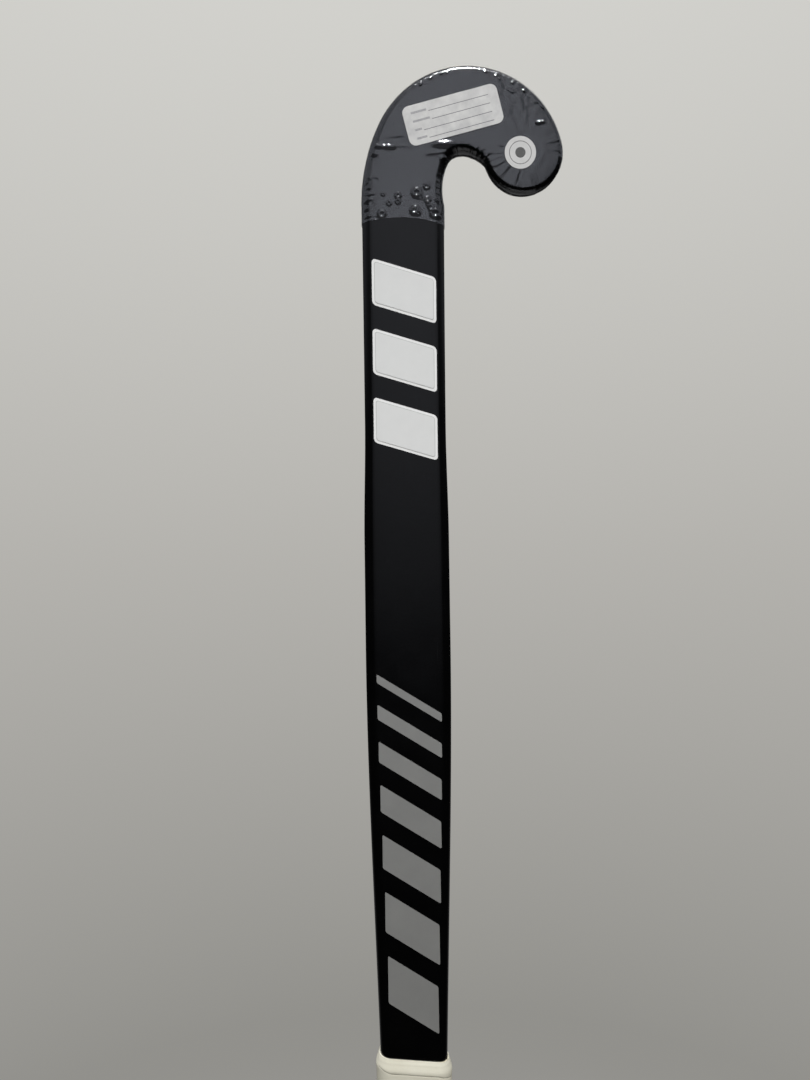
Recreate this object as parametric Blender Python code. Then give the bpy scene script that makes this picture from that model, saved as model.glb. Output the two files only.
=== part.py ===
"""A composite field hockey stick, standing head up on its butt end.

+Z runs up the stick, the flat playing face looks to -Y and the toe points to +X.
The origin is the middle of the flat butt end. All sizes are in metres.
"""

import math

import bmesh
import bpy
from mathutils import Matrix, Vector

# Whole stick
STICK_LENGTH = 0.9525  # butt face to the top of the head, a 37.5 inch stick
CLEARANCE = 0.0003  # air left between two pieces that touch

# Widths across the playing face
HANDLE_WIDTH = 0.0346
SHAFT_WIDTH = 0.0481  # where the shaft runs into the head
BELLY_SWELL = 0.0024  # how much wider the shaft is at its widest, which still passes a 51 mm ring
TOE_WIDTH = 0.0458
HEEL_FULLNESS = 0.0008  # how far the outer edge swells past an even band
CROOK_HOLLOW = 0.0012  # how far the inner edge is drawn in, at the middle of the hook
CROOK_LEAN = 0.0022  # how far it moves from the shaft's side to the toe's side

# Depths from the playing face to the rounded back, and the roundness of the face's edges
HANDLE_DEPTH = 0.0288
SHAFT_DEPTH = 0.0226
HEAD_DEPTH = 0.0212
TOE_DEPTH = 0.0180
HANDLE_CORNER = 0.0110
SHAFT_CORNER = 0.0055
HEAD_CORNER = 0.0047
TOE_CORNER = 0.0026
BACK_FULLNESS = 2.3  # 2 is an ellipse, more is squarer

# Where the section changes
SHARPENING_START = 0.200  # the handle is round up to here, above the butt
SHARPENING_LENGTH = 0.190  # and has the shaft's sharper edges beyond this
SWELL_START = 0.270  # the handle begins to widen, above the butt
BELLY_BELOW_TOP = 0.3325  # it is at its widest, below the top of the head
BELLY_LENGTH = 0.0600
NARROWING_LENGTH = 0.0700  # above its widest part the shaft narrows to the head's width

# The bow of the shaft: the face is hollow, and deepest at the peak
BOW_DEPTH = 0.0210
BOW_START = 0.060  # above the butt
BOW_PEAK_BELOW_TOP = 0.2925
FLAT_BELOW_HOOK = 0.0214  # the face is flat over the hook and this far down the shaft

# The hook: the centreline turns a little at the throat, then tightly round the crook
THROAT_BEND_RADIUS = 0.0775
THROAT_BEND_ANGLE = math.radians(26.8)
CROOK_RADIUS = 0.0095  # of the inner edge
HOOK_BEND_ANGLE = math.radians(136.6)

# Laminate, inner tubes and foam
LAMINATE_WALL = 0.0020
INNER_TUBE_WALL = 0.0009
HEAD_CORE_BELOW_HOOK = 0.0744  # the head's foam reaches this far down the shaft
BUTT_PLUG_LENGTH = 0.060

# Butt cap
CAP_FLANGE_THICKNESS = 0.0030
CAP_EDGE_ROUNDING = 0.0010
CAP_SPIGOT_LENGTH = 0.018
CAP_SPIGOT_WALL = 0.0020

# Grip
GRIP_TOP = 0.3872  # height of the grip's upper edge at the middle of the face
GRIP_EDGE_SLOPE = 0.095  # the edge falls towards the toe side
GRIP_THICKNESS = 0.0019
GRIP_EDGE_THICKNESS = 0.0014  # the tape is skived thinner along its two sides
GRIP_PITCH = 0.0220  # rise of one turn
GRIP_TURN_GAP = 0.0005
GRIP_ADHESIVE_THICKNESS = 0.0002
GRIP_ADHESIVE_SHORTFALL = 0.0045  # the adhesive stops this far below the grip's edge
END_TAPE_WIDTH = 0.0150
END_TAPE_THICKNESS = 0.0003

# Film, label and sticker on the head
FILM_BELOW_HOOK = 0.0077  # the film reaches this far down the shaft
FILM_THICKNESS = 0.0003
LABEL_LENGTH = 0.0562
LABEL_HEIGHT = 0.0223
LABEL_CORNER = 0.0040
LABEL_TURN = math.radians(14.6)
LABEL_FROM_TOE = 0.0413  # label's middle to the toe's middle, along X
LABEL_BELOW_TOP = 0.0283  # label's middle to the top of the head
PAPER_THICKNESS = 0.0002
STICKER_DIAMETER = 0.0182
STICKER_FROM_TOE = 0.0023  # sticker's middle to the toe's middle
STICKER_BELOW_TOE = 0.0012

# Transfers on the shaft: three white bars, then a ladder of silver stripes that grow towards the grip
TRANSFER_THICKNESS = 0.0002
TRANSFER_MARGIN = 0.0006  # bare face between a transfer and the rounded edge
WHITE_BARS_BELOW_FILM = 0.0285  # top of the first bar, at the middle of the face
WHITE_BAR_HEIGHT = 0.0265
WHITE_BAR_SPACING = 0.0400
WHITE_BAR_COUNT = 3
WHITE_BAR_SLANT = 0.30  # rise towards the heel, for each metre across
WHITE_BAR_CORNER = 0.0024
STRIPES_ABOVE_GRIP = 0.2030  # top of the first stripe, at the middle of the face
STRIPE_HEIGHT = 0.0050  # the first stripe's
STRIPE_GROWTH = 0.0035  # each next stripe is taller by this
STRIPE_GAP = 0.0125
STRIPE_COUNT = 7
STRIPE_SLANT = 0.62
STRIPE_CORNER = 0.0010

# Fineness of the meshes
LEVEL_STEP = 0.034  # height between two rings of the shaft
CORNER_STEPS = 3
BACK_STEPS = 6
THROAT_STEPS = 3
HOOK_STEPS = 12
TOE_STEPS = 10
DISC_STEPS = 32
SMALLEST_CORNER = 0.0004
SMOOTH_ANGLE = math.radians(38)

# Sizes that follow from those above
BELLY_WIDTH = SHAFT_WIDTH + BELLY_SWELL
BELLY_START = STICK_LENGTH - BELLY_BELOW_TOP
BELLY_END = BELLY_START + BELLY_LENGTH
NARROW_END = BELLY_END + NARROWING_LENGTH
BOW_PEAK = STICK_LENGTH - BOW_PEAK_BELOW_TOP
SHELL_START = CAP_FLANGE_THICKNESS + CLEARANCE
CAVITY_INSET = LAMINATE_WALL + CLEARANCE
SPIGOT_END = CAP_FLANGE_THICKNESS + CAP_SPIGOT_LENGTH
PLUG_START = SPIGOT_END + CLEARANCE
PLUG_END = PLUG_START + BUTT_PLUG_LENGTH
TUBE_START = PLUG_END + CLEARANCE
GRIP_INNER = 2 * CLEARANCE + GRIP_ADHESIVE_THICKNESS
GRIP_OUTER = GRIP_INNER + GRIP_THICKNESS
END_TAPE_INNER = GRIP_OUTER + CLEARANCE
END_TAPE_OUTER = END_TAPE_INNER + END_TAPE_THICKNESS
FILM_OUTER = CLEARANCE + FILM_THICKNESS
HALF_POINTS = 1 + CORNER_STEPS + BACK_STEPS  # steps of a half section, front to back


def blend(value, start, end):
    """0 below start, 1 above end, and a smooth ramp between."""
    share = min(max((value - start) / (end - start), 0.0), 1.0)
    return share * share * (3.0 - 2.0 * share)


def mix(first, second, share):
    return first + (second - first) * share


def along_shaft(height, handle, belly, head):
    """A size of the section that goes from the handle's to the belly's to the head's."""
    swollen = mix(handle, belly, blend(height, SWELL_START, BELLY_START))
    return mix(swollen, head, blend(height, BELLY_END, NARROW_END))


def shaft_half_width(height):
    return along_shaft(height, HANDLE_WIDTH, BELLY_WIDTH, SHAFT_WIDTH) / 2


def shaft_depth(height):
    return along_shaft(height, HANDLE_DEPTH, SHAFT_DEPTH, HEAD_DEPTH)


def shaft_corner(height):
    sharpened = blend(height, SHARPENING_START, SHARPENING_START + SHARPENING_LENGTH)
    below_head = mix(HANDLE_CORNER, SHAFT_CORNER, sharpened)
    return mix(below_head, HEAD_CORNER, blend(height, BELLY_END, NARROW_END))


def bow_curvature():
    curved = FACE_FLAT_FROM - BOW_PEAK
    return BOW_DEPTH / (curved * curved + 2 * curved * (STICK_LENGTH - FACE_FLAT_FROM))


def face_slope():
    """How far the flat head's face comes forward for each metre up."""
    return 2 * bow_curvature() * (FACE_FLAT_FROM - BOW_PEAK)


def bow(height):
    """How far the face lies back from a straight line between butt and head."""
    if height <= BOW_PEAK:
        share = min(max((height - BOW_START) / (BOW_PEAK - BOW_START), 0.0), 1.0)
        return BOW_DEPTH * (1 - math.cos(math.pi * share)) / 2
    curved = min(height, FACE_FLAT_FROM) - BOW_PEAK
    straight = max(height - FACE_FLAT_FROM, 0.0)
    return BOW_DEPTH - bow_curvature() * curved * curved - face_slope() * straight


def place(x, depth, height):
    """A point at a depth behind the playing face, on the bowed stick."""
    return Vector((x, depth + bow(height) - HANDLE_DEPTH / 2, height))


def half_section(half_width, depth, corner, inset):
    """Half of the D-shaped section, from the middle of the face round to the middle of the back."""
    side = half_width - inset
    radius = max(corner - inset, SMALLEST_CORNER)
    points = [(0.0, inset), (side - radius, inset)]
    for step in range(1, CORNER_STEPS + 1):
        turn = math.pi / 2 * step / CORNER_STEPS
        points.append((side - radius + radius * math.sin(turn), inset + radius - radius * math.cos(turn)))
    widest = inset + radius
    reach = depth - inset - widest
    for step in range(1, BACK_STEPS):
        turn = math.pi / 2 * step / BACK_STEPS
        across = side * math.cos(turn) ** (2 / BACK_FULLNESS)
        points.append((across, widest + reach * math.sin(turn) ** (2 / BACK_FULLNESS)))
    points.append((0.0, depth - inset))
    return points


def shaft_station(height):
    half = shaft_half_width(height)
    return {
        "x": 0.0,
        "z": height,
        "heading": 0.0,
        "outer": half,
        "inner": half,
        "depth": shaft_depth(height),
        "corner": shaft_corner(height),
    }


def hook_stations(start_height):
    """Stations along the hook's centreline, which starts straight up at start_height."""
    stations = []
    x = 0.0
    z = start_height
    heading = 0.0
    hook_radius = CROOK_RADIUS + SHAFT_WIDTH / 2
    bends = (
        (THROAT_BEND_RADIUS, THROAT_BEND_ANGLE, THROAT_STEPS),
        (hook_radius, HOOK_BEND_ANGLE, HOOK_STEPS),
    )
    whole = sum(radius * angle for radius, angle, steps in bends)
    walked = 0.0
    for radius, angle, steps in bends:
        centre_x = x + radius * math.cos(heading)
        centre_z = z - radius * math.sin(heading)
        for step in range(1, steps + 1):
            turned = heading + angle * step / steps
            share = (walked + radius * angle * step / steps) / whole
            even = mix(SHAFT_WIDTH, TOE_WIDTH, share) / 2
            drawn_in = CROOK_HOLLOW * math.sin(math.pi * share) + CROOK_LEAN * math.sin(2 * math.pi * share)
            stations.append({
                "x": centre_x - radius * math.cos(turned),
                "z": centre_z + radius * math.sin(turned),
                "heading": turned,
                "outer": even + HEEL_FULLNESS * math.sin(math.pi * share),
                "inner": even - drawn_in,
                "depth": mix(HEAD_DEPTH, TOE_DEPTH, share),
                "corner": mix(HEAD_CORNER, TOE_CORNER, share),
            })
        heading += angle
        walked += radius * angle
        x = stations[-1]["x"]
        z = stations[-1]["z"]
    return stations


def hook_start_height():
    """Where the hook has to begin for its outer edge to reach the stick's full length."""
    tallest = max(s["z"] + s["outer"] * math.sin(s["heading"]) for s in hook_stations(0.0))
    return STICK_LENGTH - tallest


HOOK_START = hook_start_height()
TOE = hook_stations(HOOK_START)[-1]
FACE_FLAT_FROM = HOOK_START - FLAT_BELOW_HOOK
HEAD_CORE_START = HOOK_START - HEAD_CORE_BELOW_HOOK
TUBE_END = HEAD_CORE_START - CLEARANCE
FILM_START = HOOK_START - FILM_BELOW_HOOK


def levels_between(low, high):
    """The heights of the shaft's common rings that lie between two ends, with both ends."""
    count = max(round(HOOK_START / LEVEL_STEP), 1)
    common = [HOOK_START * step / count for step in range(count + 1)]
    spare = LEVEL_STEP / 8
    return [low] + [level for level in common if low + spare < level < high - spare] + [high]


def section_loop(station, inset):
    """The closed section at a station: face middle, heel side, back middle, toe side."""
    heel_side = half_section(station["outer"], station["depth"], station["corner"], inset)
    toe_side = half_section(station["inner"], station["depth"], station["corner"], inset)
    return heel_side + [(-across, depth) for across, depth in reversed(toe_side[1:-1])]


def ring(station, inset):
    away_x = -math.cos(station["heading"])
    away_z = math.sin(station["heading"])
    points = []
    for across, depth in section_loop(station, inset):
        points.append(place(station["x"] + across * away_x, depth, station["z"] + across * away_z))
    return points


def shaft_rings(low, high, inset):
    return [ring(shaft_station(level), inset) for level in levels_between(low, high)]


def head_rings(low, inset):
    """Rings from a height on the shaft up and round the hook to the toe's middle."""
    rings = shaft_rings(low, HOOK_START, inset)
    return rings + [ring(station, inset) for station in hook_stations(HOOK_START)]


def toe_arcs(inset):
    """Half sections turned about the toe's middle, which round off the end of the hook."""
    profile = half_section(TOE["outer"], TOE["depth"], TOE["corner"], inset)[1:-1]
    arcs = []
    for step in range(1, TOE_STEPS):
        heading = TOE["heading"] + math.pi * step / TOE_STEPS
        away_x = -math.cos(heading)
        away_z = math.sin(heading)
        arcs.append([place(TOE["x"] + u * away_x, v, TOE["z"] + u * away_z) for u, v in profile])
    return arcs


def add_loop(mesh, points):
    return [mesh.verts.new(point) for point in points]


def join_loops(mesh, lower, upper):
    """Faces between two closed loops of as many points."""
    count = len(lower)
    for index in range(count):
        after = (index + 1) % count
        mesh.faces.new((lower[index], lower[after], upper[after], upper[index]))


def join_rings(mesh, rings):
    loops = [add_loop(mesh, points) for points in rings]
    for lower, upper in zip(loops, loops[1:]):
        join_loops(mesh, lower, upper)
    return loops


def close_toe(mesh, last_loop, inset):
    """The rounded toe, from the heel side of the last ring round to its toe side."""
    front = last_loop[0]
    back = last_loop[HALF_POINTS]
    strips = [last_loop[1:HALF_POINTS]]
    strips += [add_loop(mesh, points) for points in toe_arcs(inset)]
    strips.append(list(reversed(last_loop[HALF_POINTS + 1:])))
    for here, there in zip(strips, strips[1:]):
        mesh.faces.new((front, here[0], there[0]))
        for index in range(len(here) - 1):
            mesh.faces.new((here[index], here[index + 1], there[index + 1], there[index]))
        mesh.faces.new((back, there[-1], here[-1]))


def add_head_skin(mesh, low, inset):
    """One skin over shaft and head from a height up, and its open lower loop."""
    loops = join_rings(mesh, head_rings(low, inset))
    close_toe(mesh, loops[-1], inset)
    return loops[0]


def make_material(name, colour, roughness, metallic=0.0, alpha=1.0):
    material = bpy.data.materials.new(name)
    material.use_nodes = True
    shader = material.node_tree.nodes["Principled BSDF"]
    shader.inputs["Base Color"].default_value = (*colour, 1.0)
    shader.inputs["Roughness"].default_value = roughness
    shader.inputs["Metallic"].default_value = metallic
    shader.inputs["Alpha"].default_value = alpha
    return material


def finish_piece(name, mesh, material, parent):
    """Turns a finished bmesh into a named object of the stick."""
    bmesh.ops.recalc_face_normals(mesh, faces=mesh.faces)
    data = bpy.data.meshes.new(name)
    mesh.to_mesh(data)
    mesh.free()
    data.materials.append(material)
    data.shade_smooth()
    data.set_sharp_from_angle(angle=SMOOTH_ANGLE)
    piece = bpy.data.objects.new(name, data)
    bpy.context.collection.objects.link(piece)
    piece.parent = parent
    return piece


def make_stick_shell(parent):
    """The laminate: a hollow skin over head, shaft and handle, open at the butt."""
    mesh = bmesh.new()
    outside = add_head_skin(mesh, SHELL_START, 0.0)
    inside = add_head_skin(mesh, SHELL_START, LAMINATE_WALL)
    join_loops(mesh, outside, inside)
    material = make_material("black_laminate", (0.012, 0.012, 0.014), 0.42)
    return finish_piece("stick_shell", mesh, material, parent)


def make_head_core(parent):
    """Foam that fills the head and the end of the shaft."""
    mesh = bmesh.new()
    mesh.faces.new(add_head_skin(mesh, HEAD_CORE_START, CAVITY_INSET))
    material = make_material("head_foam", (0.62, 0.50, 0.30), 0.9)
    return finish_piece("head_core", mesh, material, parent)


def tube_loop(station, side, inset, web):
    """One side of the shaft's hollow, cut off straight at a distance from the middle."""
    half = half_section(station["outer"], station["depth"], station["corner"], inset)
    (u_before, v_before), (u_last, v_last) = half[-2], half[-1]
    share = (u_before - web) / (u_before - u_last)
    points = [(web, half[0][1])] + half[1:-1] + [(web, mix(v_before, v_last, share))]
    return [place(side * u, v, station["z"]) for u, v in points]


def make_inner_tube(name, side, parent):
    """One of the two tubes inside the shaft, open at both ends."""
    mesh = bmesh.new()
    stations = [shaft_station(level) for level in levels_between(TUBE_START, TUBE_END)]
    web = CLEARANCE / 2
    wall = INNER_TUBE_WALL
    outside = join_rings(mesh, [tube_loop(s, side, CAVITY_INSET, web) for s in stations])
    inside = join_rings(mesh, [tube_loop(s, side, CAVITY_INSET + wall, web + wall) for s in stations])
    join_loops(mesh, outside[0], inside[0])
    join_loops(mesh, outside[-1], inside[-1])
    material = make_material(name + "_laminate", (0.035, 0.035, 0.038), 0.55)
    return finish_piece(name, mesh, material, parent)


def make_butt_plug(parent):
    """Foam block that stops the handle between the cap and the inner tubes."""
    mesh = bmesh.new()
    loops = join_rings(mesh, shaft_rings(PLUG_START, PLUG_END, CAVITY_INSET))
    mesh.faces.new(loops[0])
    mesh.faces.new(loops[-1])
    material = make_material("plug_foam", (0.55, 0.52, 0.46), 0.9)
    return finish_piece("butt_plug", mesh, material, parent)


def make_butt_cap(parent):
    """Moulded cap: a flange under the grip and a hollow spigot up the handle."""
    flange = -END_TAPE_OUTER
    bore = CAVITY_INSET + CAP_SPIGOT_WALL
    outline = (
        (0.0, flange + CAP_EDGE_ROUNDING),
        (CAP_EDGE_ROUNDING * 0.3, flange + CAP_EDGE_ROUNDING * 0.3),
        (CAP_EDGE_ROUNDING, flange),
        (CAP_FLANGE_THICKNESS, flange),
        (CAP_FLANGE_THICKNESS, CAVITY_INSET),
        (SPIGOT_END, CAVITY_INSET),
        (SPIGOT_END, bore),
        (CAP_FLANGE_THICKNESS, bore),
    )
    mesh = bmesh.new()
    loops = join_rings(mesh, [ring(shaft_station(level), inset) for level, inset in outline])
    mesh.faces.new(loops[0])
    mesh.faces.new(loops[-1])
    material = make_material("cap_rubber", (0.02, 0.02, 0.02), 0.6)
    return finish_piece("butt_cap", mesh, material, parent)


def make_sleeve(name, low, high, inner_inset, outer_inset, material, parent):
    """A thin closed band round the handle."""
    mesh = bmesh.new()
    inside = join_rings(mesh, shaft_rings(low, high, inner_inset))
    outside = join_rings(mesh, shaft_rings(low, high, outer_inset))
    join_loops(mesh, inside[0], outside[0])
    join_loops(mesh, inside[-1], outside[-1])
    return finish_piece(name, mesh, material, parent)


def make_grip_adhesive(parent):
    top = GRIP_TOP - GRIP_ADHESIVE_SHORTFALL
    outer = -(CLEARANCE + GRIP_ADHESIVE_THICKNESS)
    material = make_material("adhesive_tape", (0.75, 0.70, 0.55), 0.7)
    return make_sleeve("grip_adhesive", SHELL_START, top, -CLEARANCE, outer, material, parent)


def make_grip_end_tape(parent):
    top = SHELL_START + END_TAPE_WIDTH
    material = make_material("end_tape_vinyl", (0.02, 0.02, 0.022), 0.35)
    return make_sleeve("grip_end_tape", SHELL_START, top, -END_TAPE_INNER, -END_TAPE_OUTER, material, parent)


def turn_shares():
    """The share of a turn round the handle at which each point of its section lies."""
    loop = section_loop(shaft_station(GRIP_TOP / 2), -GRIP_OUTER)
    lengths = [math.dist(here, there) for here, there in zip(loop, loop[1:] + loop[:1])]
    shares = [0.0]
    for length in lengths:
        shares.append(shares[-1] + length / sum(lengths))
    return shares[:-1]


def grip_point(index, height, inset):
    """A point over the handle, on the grip's slanted upper edge where it would pass it."""
    across = section_loop(shaft_station(min(height, GRIP_TOP)), inset)[index][0]
    level = min(max(height, SHELL_START), GRIP_TOP + GRIP_EDGE_SLOPE * across)
    across, depth = section_loop(shaft_station(level), inset)[index]
    return place(-across, depth, level)


def make_grip_wrap(parent):
    """The grip: one tape wound up the handle, turn beside turn, cut level at both ends."""
    shares = turn_shares()
    count = len(shares)
    width = GRIP_PITCH - GRIP_TURN_GAP
    tape_edge = GRIP_INNER + GRIP_EDGE_THICKNESS
    sliver = GRIP_PITCH / 12
    sections = []
    steps = math.ceil((GRIP_TOP + 2 * GRIP_PITCH) / GRIP_PITCH) * count
    for step in range(-count, steps):
        index = step % count
        low = SHELL_START + GRIP_PITCH * (step // count + shares[index])
        ceiling = grip_point(index, STICK_LENGTH, -GRIP_OUTER).z
        if low + width < SHELL_START + sliver or low > ceiling - sliver:
            continue
        high = low + width
        middle = (max(low, SHELL_START) + min(high, ceiling)) / 2
        sections.append([
            grip_point(index, low, -GRIP_INNER),
            grip_point(index, low, -tape_edge),
            grip_point(index, middle, -GRIP_OUTER),
            grip_point(index, high, -tape_edge),
            grip_point(index, high, -GRIP_INNER),
        ])
    gap = min(
        (upper - lower).length
        for here, above in zip(sections, sections[count:])
        for upper in here[3:]
        for lower in above[:2]
    )
    print(f"grip_wrap: {len(sections) / count:.1f} turns, least gap between turns {gap * 1000:.2f} mm")
    mesh = bmesh.new()
    loops = join_rings(mesh, sections)
    mesh.faces.new(loops[0])
    mesh.faces.new(loops[-1])
    material = make_material("cream_grip", (0.72, 0.69, 0.55), 0.65)
    return finish_piece("grip_wrap", mesh, material, parent)


def make_head_film(parent):
    """The clear film over the head, a thin bag open at the shaft."""
    mesh = bmesh.new()
    inside = add_head_skin(mesh, FILM_START, -CLEARANCE)
    outside = add_head_skin(mesh, FILM_START, -FILM_OUTER)
    join_loops(mesh, inside, outside)
    material = make_material("clear_film", (0.75, 0.76, 0.78), 0.15, alpha=0.25)
    return finish_piece("head_film", mesh, material, parent)


def lay_on_head(piece, x, height, turn):
    """Places a flat piece, modelled on the XZ plane, a clearance in front of the film."""
    tilt = math.atan(face_slope())
    piece.location = place(x, -FILM_OUTER, height)
    piece.location += Vector((0.0, -CLEARANCE, 0.0))
    piece.rotation_euler = (Matrix.Rotation(tilt, 3, "X") @ Matrix.Rotation(-turn, 3, "Y")).to_euler()
    return piece


def thicken(mesh, thickness):
    """Gives a flat face on the XZ plane its thickness, towards -Y."""
    grown = bmesh.ops.extrude_face_region(mesh, geom=mesh.faces[:])
    moved = [item for item in grown["geom"] if isinstance(item, bmesh.types.BMVert)]
    bmesh.ops.translate(mesh, verts=moved, vec=(0.0, -thickness, 0.0))


def flat_outline(points):
    mesh = bmesh.new()
    mesh.faces.new([mesh.verts.new((x, 0.0, z)) for x, z in points])
    return mesh


def round_corners(mesh, radius):
    bmesh.ops.bevel(
        mesh,
        geom=mesh.verts[:],
        offset=radius,
        offset_type="OFFSET",
        segments=4,
        profile=0.5,
        affect="VERTICES",
    )


def make_size_label(parent):
    half_x = LABEL_LENGTH / 2
    half_z = LABEL_HEIGHT / 2
    mesh = flat_outline(((-half_x, -half_z), (half_x, -half_z), (half_x, half_z), (-half_x, half_z)))
    round_corners(mesh, LABEL_CORNER)
    thicken(mesh, PAPER_THICKNESS)
    material = make_material("label_paper", (0.60, 0.60, 0.59), 0.75)
    label = finish_piece("size_label", mesh, material, parent)
    return lay_on_head(label, TOE["x"] - LABEL_FROM_TOE, STICK_LENGTH - LABEL_BELOW_TOP, LABEL_TURN)


def make_toe_sticker(parent):
    mesh = bmesh.new()
    upright = Matrix.Rotation(math.pi / 2, 4, "X")
    bmesh.ops.create_circle(
        mesh, cap_ends=True, segments=DISC_STEPS, radius=STICKER_DIAMETER / 2, matrix=upright
    )
    thicken(mesh, PAPER_THICKNESS)
    material = make_material("sticker_vinyl", (0.72, 0.72, 0.71), 0.4)
    sticker = finish_piece("toe_sticker", mesh, material, parent)
    return lay_on_head(sticker, TOE["x"] - STICKER_FROM_TOE, TOE["z"] - STICKER_BELOW_TOE, 0.0)


def make_transfer(name, top, height, slant, corner, material, parent):
    """A slanted bar across the flat of the face, thin, and following the bow."""
    middle = top - height / 2
    half = shaft_half_width(middle) - shaft_corner(middle) - TRANSFER_MARGIN
    rise = slant * half
    mesh = flat_outline((
        (-half, top - height + rise),
        (half, top - height - rise),
        (half, top - rise),
        (-half, top + rise),
    ))
    round_corners(mesh, corner)
    cuts = 4
    for step in range(1, cuts):
        level = mix(top - height - rise, top + rise, step / cuts)
        whole = mesh.verts[:] + mesh.edges[:] + mesh.faces[:]
        bmesh.ops.bisect_plane(mesh, geom=whole, plane_co=(0.0, 0.0, level), plane_no=(0.0, 0.0, 1.0))
    thicken(mesh, TRANSFER_THICKNESS)
    for vertex in mesh.verts:
        vertex.co = place(vertex.co.x, vertex.co.y - CLEARANCE, vertex.co.z)
    return finish_piece(name, mesh, material, parent)


def make_white_bars(parent):
    for number in range(WHITE_BAR_COUNT):
        top = FILM_START - WHITE_BARS_BELOW_FILM - number * WHITE_BAR_SPACING
        name = f"white_bar_{number + 1}"
        material = make_material(name + "_transfer", (0.72, 0.73, 0.73), 0.4)
        make_transfer(name, top, WHITE_BAR_HEIGHT, WHITE_BAR_SLANT, WHITE_BAR_CORNER, material, parent)


def make_silver_stripes(parent):
    top = GRIP_TOP + STRIPES_ABOVE_GRIP
    for number in range(STRIPE_COUNT):
        height = STRIPE_HEIGHT + number * STRIPE_GROWTH
        name = f"silver_stripe_{number + 1}"
        material = make_material(name + "_transfer", (0.25, 0.245, 0.24), 0.38, metallic=0.5)
        make_transfer(name, top, height, STRIPE_SLANT, STRIPE_CORNER, material, parent)
        top -= height + STRIPE_GAP


def main():
    for leftover in list(bpy.data.objects):
        bpy.data.objects.remove(leftover, do_unlink=True)
    stick = bpy.data.objects.new("hockey_stick", None)
    bpy.context.collection.objects.link(stick)
    make_stick_shell(stick)
    make_head_core(stick)
    make_inner_tube("heel_side_tube", -1, stick)
    make_inner_tube("toe_side_tube", 1, stick)
    make_butt_plug(stick)
    make_butt_cap(stick)
    make_grip_adhesive(stick)
    make_grip_wrap(stick)
    make_grip_end_tape(stick)
    make_head_film(stick)
    make_size_label(stick)
    make_toe_sticker(stick)
    make_white_bars(stick)
    make_silver_stripes(stick)


main()
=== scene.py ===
import math

import bmesh
import bpy
from mathutils import Matrix, Vector, noise


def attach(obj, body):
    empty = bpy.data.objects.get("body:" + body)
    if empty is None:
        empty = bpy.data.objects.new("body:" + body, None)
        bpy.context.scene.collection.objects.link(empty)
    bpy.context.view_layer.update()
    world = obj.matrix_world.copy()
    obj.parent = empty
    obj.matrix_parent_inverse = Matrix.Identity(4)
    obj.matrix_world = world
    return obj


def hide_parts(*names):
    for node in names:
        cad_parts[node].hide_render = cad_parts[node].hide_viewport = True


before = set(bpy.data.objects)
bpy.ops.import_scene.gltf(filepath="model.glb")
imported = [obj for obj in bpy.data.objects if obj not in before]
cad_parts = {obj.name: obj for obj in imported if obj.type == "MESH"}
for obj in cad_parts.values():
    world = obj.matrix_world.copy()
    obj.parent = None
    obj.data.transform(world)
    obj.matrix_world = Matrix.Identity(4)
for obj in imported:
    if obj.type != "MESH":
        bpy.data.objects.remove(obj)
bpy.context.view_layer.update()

print("frame loaded,", len(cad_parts), "nodes")

mm = 0.001

# The stick's own shape, in metres: +Z up from the butt, the playing face looks to -Y, the toe to +X
stick = {
    "length": 0.9525,
    "handleWidth": 0.0346,
    "shaftWidth": 0.0481,
    "bellySwell": 0.0024,
    "toeWidth": 0.0458,
    "heelFullness": 0.0008,
    "crookHollow": 0.0012,
    "crookLean": 0.0022,
    "handleDepth": 0.0288,
    "shaftDepth": 0.0226,
    "headDepth": 0.0212,
    "toeDepth": 0.0180,
    "handleCorner": 0.0110,
    "shaftCorner": 0.0055,
    "headCorner": 0.0047,
    "toeCorner": 0.0026,
    "smallestCorner": 0.0004,
    "backFullness": 2.3,  # 2 is an ellipse, more is squarer
    "crown": 0.00045,  # the face falls away this much at its edges
    "crownPower": 4,
    "sharpeningStart": 0.200,
    "sharpeningLength": 0.190,
    "swellStart": 0.270,
    "bellyBelowTop": 0.3325,
    "bellyLength": 0.0600,
    "narrowingLength": 0.0700,
    "bowDepth": 0.0210,
    "bowStart": 0.060,
    "bowPeakBelowTop": 0.2925,
    "flatBelowHook": 0.0214,
    "throatRadius": 0.0775,
    "throatAngle": math.radians(26.8),
    "crookRadius": 0.0095,
    "hookAngle": math.radians(136.6),
    "wall": 0.0020,
}
bellyStart = stick["length"] - stick["bellyBelowTop"]
bellyEnd = bellyStart + stick["bellyLength"]
narrowEnd = bellyEnd + stick["narrowingLength"]
bowPeak = stick["length"] - stick["bowPeakBelowTop"]
crookReach = stick["crookRadius"] + stick["shaftWidth"] / 2  # from the crook's middle to the centreline


def blend(value, start, end):
    share = min(max((value - start) / (end - start), 0.0), 1.0)
    return share * share * (3.0 - 2.0 * share)


def mix(first, second, share):
    return first + (second - first) * share


def alongShaft(height, handle, belly, head):
    swollen = mix(handle, belly, blend(height, stick["swellStart"], bellyStart))
    return mix(swollen, head, blend(height, bellyEnd, narrowEnd))


def shaftHalfWidth(height):
    belly = stick["shaftWidth"] + stick["bellySwell"]
    return alongShaft(height, stick["handleWidth"], belly, stick["shaftWidth"]) / 2


def shaftCorner(height):
    start = stick["sharpeningStart"]
    sharpened = blend(height, start, start + stick["sharpeningLength"])
    belowHead = mix(stick["handleCorner"], stick["shaftCorner"], sharpened)
    return mix(belowHead, stick["headCorner"], blend(height, bellyEnd, narrowEnd))


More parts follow.
